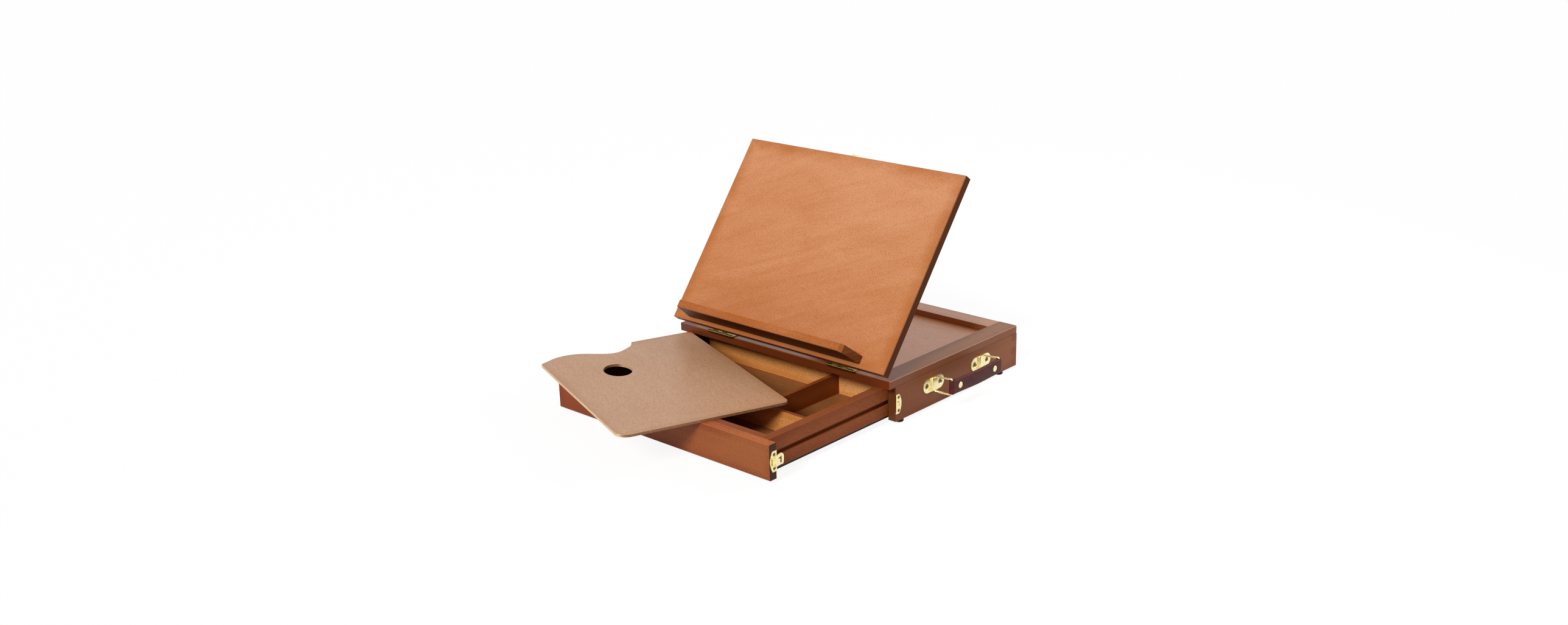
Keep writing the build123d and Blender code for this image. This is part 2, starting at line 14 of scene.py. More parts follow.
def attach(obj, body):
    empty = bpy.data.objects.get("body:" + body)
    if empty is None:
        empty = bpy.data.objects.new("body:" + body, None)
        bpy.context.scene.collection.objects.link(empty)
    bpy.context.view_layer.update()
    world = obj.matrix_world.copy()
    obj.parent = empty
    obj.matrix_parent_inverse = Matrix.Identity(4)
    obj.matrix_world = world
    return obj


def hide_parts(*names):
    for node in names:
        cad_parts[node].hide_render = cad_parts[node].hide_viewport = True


bl_info = {
    "name": "Pochade Box",
    "version": (1, 0, 0),
    "blender": (4, 5, 0),
    "location": "3D View > Sidebar > Pochade Box",
    "description": "Stained wood, brass and leather for a tabletop pochade box",
    "category": "Object",
}

MM = 0.001

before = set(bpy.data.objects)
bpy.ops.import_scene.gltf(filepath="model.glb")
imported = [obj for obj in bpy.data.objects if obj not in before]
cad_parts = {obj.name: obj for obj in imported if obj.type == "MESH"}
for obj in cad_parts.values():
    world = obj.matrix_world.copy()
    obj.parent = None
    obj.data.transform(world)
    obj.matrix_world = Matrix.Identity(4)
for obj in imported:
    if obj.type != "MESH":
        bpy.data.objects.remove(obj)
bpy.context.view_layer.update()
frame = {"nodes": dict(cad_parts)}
NODES = frame["nodes"]

# how far the board leans from lying flat, and how far the palette is turned on the drawer
BOARD_TILT = math.radians(52.7)
PALETTE_TURN = math.radians(-21.0)

# where the camera stands, how it is turned, and its lens
CAMERA_PLACE = Vector((1235.521, -1311.434, 706.497)) * MM
CAMERA_AZIMUTH = math.radians(42.6045)
CAMERA_ELEVATION = math.radians(18.4030)
CAMERA_ROLL = math.radians(-1.35546)
CAMERA_LENS = 36.884
SENSOR_WIDTH = 36.0
CLIP_NEAR, CLIP_FAR = 0.01, 100

# tones of single boards and faces, where they differ from the stains in the settings
# painted shade: the rails' front faces are dark, as in the shadow of the board leaning above them
RAIL_FACE_IN_SHADE = "#6C3315"
# partly painted light: the back rail and the recess panel are paler than the other rails, standing in for
# their sheen and the better light at the rear
BACK_RAIL_WITH_SHEEN = "#B4784C"
RECESS_WITH_SHEEN = "#B67B50"
FEET = "#35170D"
BOARD_ENDS = "#74401F"
BOARD_EDGES = "#8A4720"
LEDGE = "#B67240"
# painted shade: the ledge's underside is near black, as where little light reaches under it
LEDGE_UNDERSIDE_IN_SHADE = "#401B08"
FRONT_TOP = "#B4642F"
WALL_TOP = "#94522B"
# painted shade: the long divider is darker than the other walls inside the drawer, as on its face turned from
# the light
LONG_DIVIDER_IN_SHADE = "#9A5222"
# partly painted shade: the drawer bottom's edge is near black, the ply's edge together with the dark line of
# shade along the drawer's foot
PLYWOOD_EDGE_AND_SHADE = "#2A140B"
PALETTE_FRONT_RIM = "#D8B88C"
PALETTE_LEFT_RIM = "#E2C9A6"
# partly painted shade: olive brass, darkened for the shade under the board's lower edge
HINGE_BRASS_AND_SHADE = "#84703A"
SCREW_BRASS = "#8C7848"
BLACKENED_STEEL = "#3A2A20"
ZINC_PLATE = "#9E9E99"
THREAD_DARK = "#120807"
THREAD_LIGHT = "#1E0E0C"
STUDIO_PAPER = "#F2F2F2"

# how squarely a face looks a given way, as a cosine, where its own tone or its end grain starts and is full
FACE_STARTS, FACE_FULL = 0.6, 0.85
ENDS_START, ENDS_FULL = 0.6, 0.9
# how much the stain changes red, green and blue where it lies least and most, and in the end grain
LEAST_STAIN = (0.1, 0.2, 0.45)
MOST_STAIN = (0.34, 0.6, 0.88)
END_GRAIN = (1, 0.88, 0.72)
# the same for plating in its dull patches, and for leather in its rubbed patches
DULL_PLATING = (0.93, 0.91, 0.84)
WORN_LEATHER = (2.4, 1.6, 1.3)
# how far inside an edge the pale line on an arris, a painted highlight where a rounded edge would catch the
# light, has faded out, and how far in it is still full
ARRIS_FADES, ARRIS_FULL = 0.9 * MM, 0.5 * MM
# the growth lines' middle level, and how far apart in the log two boards are cut, in metres
RING_LEVEL = 0.46
NEXT_IN_LOG = (0.37, 0.11, 0.23)


# ---------------------------------------------------------------- settings


class PochadeWoodSettings(bpy.types.PropertyGroup):
    board: bpy.props.FloatVectorProperty(
        name="Board stain",
        description="Stain on the face and back of the drawing board",
        subtype="COLOR_GAMMA",
        size=3,
        min=0,
        max=1,
        default=(0.785, 0.54, 0.365),
    )
    case: bpy.props.FloatVectorProperty(
        name="Case stain",
        description="Stain on the sides and back of the case",
        subtype="COLOR_GAMMA",
        size=3,
        min=0,
        max=1,
        default=(0.515, 0.305, 0.17),
    )
    frame: bpy.props.FloatVectorProperty(
        name="Top frame stain",
        description="Stain on the front and side rails of the top frame",
        subtype="COLOR_GAMMA",
        size=3,
        min=0,
        max=1,
        default=(0.5, 0.315, 0.15),
    )
    front: bpy.props.FloatVectorProperty(
        name="Drawer stain",
        description="Stain on the drawer's front and on the inner faces of its sides",
        subtype="COLOR_GAMMA",
        size=3,
        min=0,
        max=1,
        default=(0.56, 0.3, 0.14),
    )
    # partly painted shade: the outside of the drawer's sides is darker than its front, as on faces turned
    # from the key light
    sides: bpy.props.FloatVectorProperty(
        name="Drawer side stain",
        description="Darker stain on the outside of the drawer's sides",
        subtype="COLOR_GAMMA",
        size=3,
        min=0,
        max=1,
        default=(0.17, 0.105, 0.075),
    )
    inside: bpy.props.FloatVectorProperty(
        name="Inside stain",
        description="Paler stain on the walls inside the drawer",
        subtype="COLOR_GAMMA",
        size=3,
        min=0,
        max=1,
        default=(0.86, 0.61, 0.35),
    )
    floor: bpy.props.FloatVectorProperty(
        name="Drawer floor stain",
        description="Stain on the plywood floor of the drawer",
        subtype="COLOR_GAMMA",
        size=3,
        min=0,
        max=1,
        default=(0.59, 0.38, 0.21),
    )
    palette: bpy.props.FloatVectorProperty(
        name="Palette stain",
        description="Stain on the painter's palette",
        subtype="COLOR_GAMMA",
        size=3,
        min=0,
        max=1,
        default=(0.765, 0.585, 0.44),
    )
    figure: bpy.props.FloatProperty(
        name="Figure",
        description="How strongly the grain shows through the stain",
        subtype="FACTOR",
        min=0,
        max=1,
        default=0.68,
    )


class PochadeHandleSettings(bpy.types.PropertyGroup):
    leather: bpy.props.FloatVectorProperty(
        name="Leather",
        description="Dye of the carrying strap",
        subtype="COLOR_GAMMA",
        size=3,
        min=0,
        max=1,
        default=(0.245, 0.083, 0.072),
    )
    thickness: bpy.props.FloatProperty(
        name="Leather thickness",
        description="Thickness of one ply of the strap",
        subtype="DISTANCE",
        unit="LENGTH",
        min=1.5 * MM,
        max=2.3 * MM,
        default=2.25 * MM,
    )
    stitch: bpy.props.FloatProperty(
        name="Stitch length",
        description="Length of one stitch along the strap",
        subtype="DISTANCE",
        unit="LENGTH",
        min=2 * MM,
        max=6 * MM,
        default=3.9 * MM,
    )
    brass: bpy.props.FloatVectorProperty(
        name="Brass",
        description="Colour of the plating on the catches, brackets, wires and rivets",
        subtype="COLOR_GAMMA",
        size=3,
        min=0,
        max=1,
        default=(0.96, 0.91, 0.7),
    )


class PochadeStageSettings(bpy.types.PropertyGroup):
    key: bpy.props.FloatProperty(
        name="Key light",
        description="Level that the key light gives a surface square to it",
        min=0,
        max=2,
        default=0.85,
    )
    rear: bpy.props.FloatProperty(
        name="Rear lamp",
        description="Level that the soft lamp behind the right corner gives a surface square to it",
        min=0,
        max=2,
        default=0.6,
    )
    ambient: bpy.props.FloatProperty(
        name="Ambient",
        description="Level of the soft light from all round",
        min=0,
        max=1,
        default=0.27,
    )


# ---------------------------------------------------------------- materials


def linear(hex_or_rgb):
    """An sRGB colour, a hex value or three numbers from 0 to 1, as the shaders' linear colour."""
    if isinstance(hex_or_rgb, str):
        hex_or_rgb = [int(hex_or_rgb[i : i + 2], 16) / 255 for i in (1, 3, 5)]
    return (*[c / 12.92 if c <= 0.04045 else ((c + 0.055) / 1.055) ** 2.4 for c in hex_or_rgb], 1)


def add_node(tree, kind, sockets=None, out=None, **settings):
    """One node with its settings and its inputs, each a value or another node's output. Gives its output."""
    made = tree.nodes.new(kind)
    for name, value in settings.items():
        setattr(made, name, value)
    for name, value in (sockets or {}).items():
        socket = next(s for s in made.inputs if s.identifier == name)
        if isinstance(value, bpy.types.NodeSocket):
            tree.links.new(value, socket)
        else:
            socket.default_value = value
    if out:
        return next(s for s in made.outputs if s.identifier == out)
    return next((s for s in made.outputs if s.enabled), made)


def blank_material(name):
    """A new material with no nodes in it, and its node tree."""
    made = bpy.data.materials.new(name)
    made.use_nodes = True
    made.node_tree.nodes.clear()
    return made, made.node_tree


def per_metre(*sizes_mm):
    """Mapping scale that makes one noise cell this large, in millimetres, along each axis."""
    return tuple(1 / (s * MM) for s in sizes_mm)


def finish_nodes(material, *names):
    """Gives these CAD nodes one material in place of their own."""
    for name in names:
        shape = NODES[name]
        shape.data.materials.clear()
        shape.data.materials.append(material)


def laid_box(node, turn):
    """Middle and half size of a node's own box, once its grain is turned along X."""
    laid = Euler(turn).to_matrix()
    corners = [laid @ corner.co for corner in NODES[node].data.vertices]
    low, high = [Vector([pick(corner[i] for corner in corners) for i in range(3)]) for pick in (min, max)]
    return (low + high) / 2, (high - low) / 2


def laid_along(tree, reading, turn):
    """The Object place or the Normal of this point, turned so that the grain lies along X."""
    reading = add_node(tree, "ShaderNodeTexCoord", out=reading)
    return add_node(
        tree, "ShaderNodeVectorRotate", {"Vector": reading, "Rotation": turn}, rotation_type="EULER_XYZ"
    )


def beech_figure(tree, log, band_mm, band_turn, fleck_mm):
    """The bands, lines, flecks, dark specks and blotches of the wood, each from 0 to 1."""
    # growth bands, far longer than wide, wander a little
    long, short = band_mm
    bands = add_node(
        tree,
        "ShaderNodeMapping",
        {"Vector": log, "Rotation": (0, 0, band_turn), "Scale": (long * MM, short * MM, short * MM)},
        vector_type="TEXTURE",
    )
    bands = add_node(
        tree,
        "ShaderNodeTexNoise",
        {"Vector": bands, "Scale": 1.0, "Detail": 3.0, "Roughness": 0.6, "Distortion": 1.2},
    )
    # fine lines, 14 mm by 0.9 mm: the real pores are finer, and are drawn this coarse so that they show
    lines = add_node(tree, "ShaderNodeMapping", {"Vector": log, "Scale": per_metre(14, 0.9, 0.9)})
    lines = add_node(
        tree, "ShaderNodeTexNoise", {"Vector": lines, "Scale": 1.0, "Detail": 2.0, "Roughness": 0.7}
    )
    # beech's small flecks, both paler and darker than the wood round them
    long, short = fleck_mm
    flecks = add_node(tree, "ShaderNodeMapping", {"Vector": log, "Scale": per_metre(long, short, short)})
    flecks = add_node(tree, "ShaderNodeTexNoise", {"Vector": flecks, "Scale": 1.0, "Detail": 1.0})
    # the deepest of them hold the most stain and show as dark specks
    specks = add_node(tree, "ShaderNodeMapRange", {"Value": flecks, "From Min": 0.52, "From Max": 0.7})
    # the stain took unevenly over 65 to 120 mm
    blotches = add_node(tree, "ShaderNodeMapping", {"Vector": log, "Scale": per_metre(120, 65, 65)})
    blotches = add_node(
        tree,
        "ShaderNodeTexNoise",
        {"Vector": blotches, "Scale": 1.0, "Detail": 4.0, "Roughness": 0.6, "Distortion": 0.7},
    )
    return bands, lines, flecks, specks, blotches


def arris_distance(tree, offset, facing, half):
    """How far inside the nearest arris of its own face this point lies, in metres below zero."""
    inset = add_node(tree, "ShaderNodeVectorMath", {"Vector": offset}, operation="ABSOLUTE")
    inset = add_node(
        tree, "ShaderNodeVectorMath", {"Vector": inset, "Vector_001": half}, operation="SUBTRACT"
    )
    # an axis that holds 0.9 or more of the normal takes no part: a metre is taken off it
    across = add_node(tree, "ShaderNodeVectorMath", {"Vector": facing}, operation="ABSOLUTE")
    across = add_node(
        tree, "ShaderNodeVectorMath", {"Vector": across, "Vector_001": (0.1, 0.1, 0.1)}, operation="ADD"
    )
    across = add_node(tree, "ShaderNodeVectorMath", {"Vector": across}, operation="FLOOR")
    inset = add_node(
        tree, "ShaderNodeVectorMath", {"Vector": inset, "Vector_001": across}, operation="SUBTRACT"
    )
    nearest = add_node(tree, "ShaderNodeSeparateXYZ", {"Vector": inset}, out="X")
    for axis in ("Y", "Z"):
        other = add_node(tree, "ShaderNodeSeparateXYZ", {"Vector": inset}, out=axis)
        nearest = add_node(
            tree, "ShaderNodeMath", {"Value": nearest, "Value_001": other}, operation="MAXIMUM"
        )
    return nearest


def tone_by_face(tree, facing, tone, faces):
    """The board's tone, and another one on each face that looks a given way."""
    colour = linear(tone)
    # each face's own tone: a stain, and on some boards painted shade
    for direction, stain in faces:
        side = add_node(
            tree,
            "ShaderNodeVectorMath",
            {"Vector": facing, "Vector_001": direction},
            out="Value",
            operation="DOT_PRODUCT",
        )
        side = add_node(
            tree, "ShaderNodeMapRange", {"Value": side, "From Min": FACE_STARTS, "From Max": FACE_FULL}
        )
        colour = add_node(
            tree,
            "ShaderNodeMix",
            {"Factor_Float": side, "A_Color": colour, "B_Color": linear(stain)},
            out="Result_Color",
            data_type="RGBA",
        )
    return colour


def growth_rings(tree, log, strength):
    """Slanting growth lines in the end grain, about 1.4 mm apart."""
    rings = add_node(
        tree,
        "ShaderNodeMapping",
        {"Vector": log, "Rotation": (0.6, 0, 0), "Scale": (8 * MM, 1.4 * MM, 30 * MM)},
        vector_type="TEXTURE",
    )
    rings = add_node(tree, "ShaderNodeTexNoise", {"Vector": rings, "Scale": 1.0, "Detail": 2.0})
    return add_node(
        tree,
        "ShaderNodeMath",
        {"Value": rings, "Value_001": strength, "Value_002": -RING_LEVEL * strength},
        operation="MULTIPLY_ADD",
    )


def stained_wood(
    node,
    tone,
    turn=(0, 0, 0),
    faces=(),
    drift=(0, 0, 0),
    end_shade=0.5,
    end_lines=1.2,
    pool_mm=12,
    band_mm=(130, 9),
    band_turn=0.0,
    fleck_mm=(1.8, 0.75),
    relief=0.3,
    gloss=0.42,
    shine=0.2,
    contrast=1.0,
    wood="beech",
):
    """Beech under a brown oil stain and thin satin varnish, on one board of the box.

    The stain gathers in the growth bands, in short flecks and towards each board's edges, leaves slow
    blotches, and goes darker where the end grain drinks it. The arrises show as fine pale lines, painted
    highlights where a rounded edge would catch the light. The varnish fills the pores, so the surface is
    nearly flat and only light at a low angle shows its sheen.

    turn lays the grain along X before the pattern is read. faces gives the sides that took another tone: the
    way each faces once its grain lies along X, and its tone, which on some boards is painted shade. drift is
    how much more stain lies towards each end than in the middle; on several boards this slope is painted
    shade, and on the drawing board painted sheen and shade. end_shade and end_lines are how dark the end
    grain is and how strongly its growth lines show. pool_mm is how far the stain pools inside an edge. gloss
    is the varnish's roughness, and shine its specular level.
    """
    made, tree = blank_material(f"stained {wood} {node.replace('_', ' ')}")
    figure = bpy.context.scene.pochade_wood.figure * contrast
    number = sorted(NODES).index(node)
    middle, half = laid_box(node, turn)
    place = laid_along(tree, "Object", turn)
    facing = laid_along(tree, "Normal", turn)
    # each board is cut from its own part of the log
    log = add_node(
        tree,
        "ShaderNodeVectorMath",
        {"Vector": place, "Vector_001": [step * number for step in NEXT_IN_LOG]},
        operation="ADD",
    )
    bands, lines, flecks, specks, blotches = beech_figure(tree, log, band_mm, band_turn, fleck_mm)

    # more stain towards one end; on several boards this is painted shade, and on the drawing board painted
    # sheen
    offset = add_node(
        tree, "ShaderNodeVectorMath", {"Vector": place, "Vector_001": middle}, operation="SUBTRACT"
    )
    slope = [amount / size for amount, size in zip(drift, half)]
    slant = add_node(
        tree,
        "ShaderNodeVectorMath",
        {"Vector": offset, "Vector_001": slope},
        out="Value",
        operation="DOT_PRODUCT",
    )
    # the stain pools unevenly along the edges, and each arris carries a broken pale line, a painted highlight
    inset = arris_distance(tree, offset, facing, half)
    pooled = add_node(
        tree,
        "ShaderNodeMapRange",
        {"Value": inset, "From Min": -pool_mm * MM, "From Max": 0.0},
        interpolation_type="SMOOTHSTEP",
    )
    pooled = add_node(tree, "ShaderNodeMath", {"Value": pooled, "Value_001": blotches}, operation="MULTIPLY")
    arris = add_node(
        tree, "ShaderNodeMapRange", {"Value": inset, "From Min": -ARRIS_FADES, "From Max": -ARRIS_FULL}
    )
    arris = add_node(tree, "ShaderNodeMath", {"Value": arris, "Value_001": bands}, operation="MULTIPLY")

    # how much stain lies here, with the drift's painted shade and the arrises' painted highlight: 0 is the
    # tone as it is, above is darker and redder, below is paler. Each part has its weight and the level at
    # which it adds nothing
    depth = 0.0
    for share, weight, level in (
        (slant, 1.0, 0.0),
        (bands, 1.3, 0.5),
        (blotches, 1.5, 0.5),
        (lines, 0.7, 0.5),
        (flecks, 2.2, 0.5),
        (specks, 1.3, 0.22),
        (pooled, 1.8, 0.0),
        (arris, -2.4, 0.0),
    ):
        share = add_node(
            tree,
            "ShaderNodeMath",
            {"Value": share, "Value_001": weight, "Value_002": -weight * level},
            operation="MULTIPLY_ADD",
        )
        depth = add_node(tree, "ShaderNodeMath", {"Value": depth, "Value_001": share}, operation="ADD")
    # end grain faces along the grain
    endwise = add_node(tree, "ShaderNodeSeparateXYZ", {"Vector": facing}, out="X")
    endwise = add_node(tree, "ShaderNodeMath", {"Value": endwise}, operation="ABSOLUTE")
    endwise = add_node(
        tree, "ShaderNodeMapRange", {"Value": endwise, "From Min": ENDS_START, "From Max": ENDS_FULL}
    )
    depth = add_node(
        tree,
        "ShaderNodeMix",
        {"Factor_Float": endwise, "A_Float": depth, "B_Float": growth_rings(tree, log, end_lines)},
        out="Result_Float",
    )
    shade = add_node(
        tree,
        "ShaderNodeMapRange",
        {
            "Vector": depth,
            "From_Min_FLOAT3": (-1, -1, -1),
            "From_Max_FLOAT3": (1, 1, 1),
            "To_Min_FLOAT3": [1 + share * figure for share in LEAST_STAIN],
            "To_Max_FLOAT3": [1 - share * figure for share in MOST_STAIN],
        },
        out="Vector",
        data_type="FLOAT_VECTOR",
    )
    colour = tone_by_face(tree, facing, tone, faces)
    colour = add_node(
        tree,
        "ShaderNodeMix",
        {"Factor_Float": 1.0, "A_Color": colour, "B_Color": shade},
        out="Result_Color",
        data_type="RGBA",
        blend_type="MULTIPLY",
    )
    ends = (*[end_shade * share for share in END_GRAIN], 1)
    ends = add_node(
        tree,
        "ShaderNodeMix",
        {"Factor_Float": 1.0, "A_Color": colour, "B_Color": ends},
        out="Result_Color",
        data_type="RGBA",
        blend_type="MULTIPLY",
    )
    colour = add_node(
        tree,
        "ShaderNodeMix",
        {"Factor_Float": endwise, "A_Color": colour, "B_Color": ends},
        out="Result_Color",
        data_type="RGBA",
    )

    rough = add_node(
        tree, "ShaderNodeMapRange", {"Value": lines, "To Min": gloss - 0.06, "To Max": gloss + 0.08}
    )
    raised = add_node(
        tree, "ShaderNodeBump", {"Height": flecks, "Strength": relief, "Distance": 0.12 * MM}, out="Normal"
    )
    shader = add_node(
        tree,
        "ShaderNodeBsdfPrincipled",
        {
            "Base Color": colour,
            "Roughness": rough,
            "Normal": raised,
            "IOR": 1.45,
            "Specular IOR Level": shine,
        },
    )
    add_node(tree, "ShaderNodeOutputMaterial", {"Surface": shader})
    finish_nodes(made, node)


def plated_metal(name, tone, gloss=0.24):
    """Pressed metal under a thin plating: bright but a little cloudy, and duller in patches of 4 mm."""
    made, tree = blank_material(name)
    place = add_node(tree, "ShaderNodeTexCoord", out="Object")
    clouds = add_node(tree, "ShaderNodeMapping", {"Vector": place, "Scale": per_metre(4, 4, 4)})
    clouds = add_node(tree, "ShaderNodeTexNoise", {"Vector": clouds, "Scale": 1.0, "Detail": 2.0})
    base = linear(tone)
    dull = (*[part * share for part, share in zip(base, DULL_PLATING)], 1)
    amount = add_node(tree, "ShaderNodeMapRange", {"Value": clouds, "From Min": 0.45, "From Max": 0.8})
    colour = add_node(
        tree,
        "ShaderNodeMix",
        {"Factor_Float": amount, "A_Color": base, "B_Color": dull},
        out="Result_Color",
        data_type="RGBA",
    )
    rough = add_node(
        tree, "ShaderNodeMapRange", {"Value": clouds, "To Min": gloss - 0.06, "To Max": gloss + 0.06}
    )
    shader = add_node(
        tree, "ShaderNodeBsdfPrincipled", {"Base Color": colour, "Metallic": 1.0, "Roughness": rough}
    )
    add_node(tree, "ShaderNodeOutputMaterial", {"Surface": shader})
    return made


def dyed_leather(name, tone):
    """Smooth burgundy hide, burnished, redder in rubbed patches, with a fine pebble and a soft polish."""
    made, tree = blank_material(name)
    place = add_node(tree, "ShaderNodeTexCoord", out="Object")
    # the pebble of a smooth hide is about 0.4 mm, and is drawn at 0.9 mm so that it shows
    pebble = add_node(tree, "ShaderNodeMapping", {"Vector": place, "Scale": per_metre(0.9, 0.9, 0.9)})
    pebble = add_node(tree, "ShaderNodeTexVoronoi", {"Vector": pebble, "Scale": 1.0}, out="Distance")
    # a hand rubs the strap in patches of about 10 mm
    cloud = add_node(tree, "ShaderNodeMapping", {"Vector": place, "Scale": per_metre(7, 11, 7)})
    cloud = add_node(tree, "ShaderNodeTexNoise", {"Vector": cloud, "Scale": 1.0, "Detail": 3.0})
    base = linear(tone)
    worn = (*[min(1, part * share) for part, share in zip(base, WORN_LEATHER)], 1)
    amount = add_node(
        tree, "ShaderNodeMapRange", {"Value": cloud, "From Min": 0.4, "From Max": 0.7, "To Max": 0.8}
    )
    colour = add_node(
        tree,
        "ShaderNodeMix",
        {"Factor_Float": amount, "A_Color": base, "B_Color": worn},
        out="Result_Color",
        data_type="RGBA",
    )
    rough = add_node(tree, "ShaderNodeMapRange", {"Value": cloud, "To Min": 0.3, "To Max": 0.46})
    relief = add_node(
        tree, "ShaderNodeBump", {"Height": pebble, "Strength": 0.2, "Distance": 0.12 * MM}, out="Normal"
    )
    shader = add_node(
        tree,
        "ShaderNodeBsdfPrincipled",
        {"Base Color": colour, "Roughness": rough, "Normal": relief, "IOR": 1.45, "Specular IOR Level": 0.2},
    )
    add_node(tree, "ShaderNodeOutputMaterial", {"Surface": shader})
    return made


def waxed_thread(name):
    """Dark waxed linen thread: two strands laid round each other, half matt."""
    made, tree = blank_material(name)
    place = add_node(tree, "ShaderNodeTexCoord", out="Object")
    # a wave repeats every 0.31 of its unit, so the strands cross every 0.16 mm
    lay = add_node(
        tree,
        "ShaderNodeMapping",
        {"Vector": place, "Rotation": (0.7, 0, 0), "Scale": per_metre(0.5, 0.5, 0.5)},
    )
    lay = add_node(tree, "ShaderNodeTexWave", {"Vector": lay, "Scale": 1.0}, out="Fac", bands_direction="Y")
    colour = add_node(
        tree,
        "ShaderNodeMix",
        {"Factor_Float": lay, "A_Color": linear(THREAD_DARK), "B_Color": linear(THREAD_LIGHT)},
        out="Result_Color",
        data_type="RGBA",
    )
    relief = add_node(
        tree, "ShaderNodeBump", {"Height": lay, "Strength": 0.4, "Distance": 0.1 * MM}, out="Normal"
    )
    shader = add_node(
        tree, "ShaderNodeBsdfPrincipled", {"Base Color": colour, "Roughness": 0.6, "Normal": relief}
    )
    add_node(tree, "ShaderNodeOutputMaterial", {"Surface": shader})
    return made


# ---------------------------------------------------------------- modelling helpers


def start_clean():
    """Leaves object mode with nothing selected, so that an operator acts on the new piece alone."""
    if bpy.context.object and bpy.context.object.mode != "OBJECT":
        bpy.ops.object.mode_set(mode="OBJECT")
    bpy.ops.object.select_all(action="DESELECT")


def settle(piece, name):
    """Names a finished piece and puts its place in its mesh, at the origin."""
    start_clean()
    piece.select_set(True)
    bpy.context.view_layer.objects.active = piece
    bpy.ops.object.transform_apply(location=True, rotation=True, scale=True)
    piece.name = name
    piece.data.name = name
    return piece


def apply_modifiers(piece):
    start_clean()
    piece.select_set(True)
    bpy.context.view_layer.objects.active = piece
    for modifier in list(piece.modifiers):
        bpy.ops.object.modifier_apply(modifier=modifier.name)


def select_edges(mesh, wanted):
    """In edit mode, selects just the edges whose middle passes the test."""
    bpy.ops.mesh.select_all(action="DESELECT")
    shape = bmesh.from_edit_mesh(mesh)
    for edge in shape.edges:
        edge.select_set(wanted((edge.verts[0].co + edge.verts[1].co) / 2, edge))
    shape.select_flush(True)
    bmesh.update_edit_mesh(mesh)


def select_points(mesh, wanted):
    """In edit mode, selects just the points that pass the test."""
    bpy.ops.mesh.select_all(action="DESELECT")
    shape = bmesh.from_edit_mesh(mesh)
    for point in shape.verts:
        point.select_set(wanted(point.co))
    shape.select_flush(True)
    bmesh.update_edit_mesh(mesh)


# ---------------------------------------------------------------- operators


# ways that a board's faces look once its grain lies along X
LEFT, RIGHT = (-1, 0, 0), (1, 0, 0)
FRONT, REAR = (0, -1, 0), (0, 1, 0)
UNDER, UP = (0, 0, -1), (0, 0, 1)
# turns that lay a board's grain along X: one that runs front to back, and the tilted board
LENGTHWISE = (0, 0, math.radians(90))
LYING = (-BOARD_TILT, 0, 0)


class POCHADE_OT_case_wood(bpy.types.Operator):
    """Stained beech on the case, its top rails, rack, runners and feet"""

    bl_idname = "pochade.case_wood"
    bl_label = "Case Wood"

    def execute(self, context):
        wood = context.scene.pochade_wood
        for side in ("left", "right"):
            # painted shade: the case's sides darken towards the front and the bottom, away from the rear lamp
            stained_wood(f"case_side_{side}", wood.case, turn=LENGTHWISE, drift=(0.5, 0, -0.2))
            # painted shade: the drift darkens the side rails towards the front, away from the rear lamp, and
            # their front ends take the dark rail face tone
            stained_wood(
                f"top_rail_{side}",
                wood.frame,
                turn=LENGTHWISE,
                faces=((RIGHT, RAIL_FACE_IN_SHADE), (REAR, wood.case), (FRONT, wood.case)),
                drift=(0.8, 0, 0),
                end_shade=1.0,
                gloss=0.34,
                shine=0.28,
            )
            stained_wood(f"drawer_runner_{side}", wood.case, turn=LENGTHWISE)
        stained_wood("case_back", wood.case, end_shade=0.92)
        # painted shade: the front rail's front face takes the dark rail face tone, as in the board's shadow
        stained_wood("top_rail_front", wood.frame, faces=((FRONT, RAIL_FACE_IN_SHADE),), gloss=0.3, shine=0.4)
        # partly painted light: paler tones on the back rail and the recess panel, for the sheen and the
        # brighter rear
        stained_wood("top_rail_back", BACK_RAIL_WITH_SHEEN, faces=((REAR, wood.case),), gloss=0.32, shine=0.85)
        stained_wood("recess_panel", RECESS_WITH_SHEEN, gloss=0.32, shine=0.85, wood="plywood")
        stained_wood("prop_rack", wood.case, turn=LENGTHWISE)
        stained_wood("feet", FEET, gloss=0.26, wood="turned")
        return {"FINISHED"}


class POCHADE_OT_board_wood(bpy.types.Operator):
    """Stained board, its canvas ledge and the prop behind it"""

    bl_idname = "pochade.board_wood"
    bl_label = "Board Wood"

    def execute(self, context):
        wood = context.scene.pochade_wood
        # painted sheen and shade: the drift makes the board paler towards its top and right and darker
        # towards its lower left, and the wide pooling along its edges also darkens the strip below the ledge
        stained_wood(
            "easel_board",
            wood.board,
            turn=LYING,
            faces=((FRONT, BOARD_EDGES), (REAR, BOARD_EDGES), (LEFT, BOARD_ENDS), (RIGHT, BOARD_ENDS)),
            drift=(-0.1, -0.5, 0.1),
            end_shade=0.5,
            pool_mm=20,
            band_mm=(190, 22),
            band_turn=0.45,
            fleck_mm=(1.3, 0.42),
            shine=0.06,
            contrast=1.1,
        )
        # painted shade: the ledge's underside takes a near-black tone
        stained_wood(
            "canvas_ledge",
            LEDGE,
            turn=LYING,
            faces=((FRONT, LEDGE_UNDERSIDE_IN_SHADE),),
            end_shade=0.42,
            end_lines=7.0,
            shine=0.1,
        )
        for part in ("prop_leaf", "prop_ears"):
            stained_wood(part, wood.case, turn=LENGTHWISE)
        return {"FINISHED"}


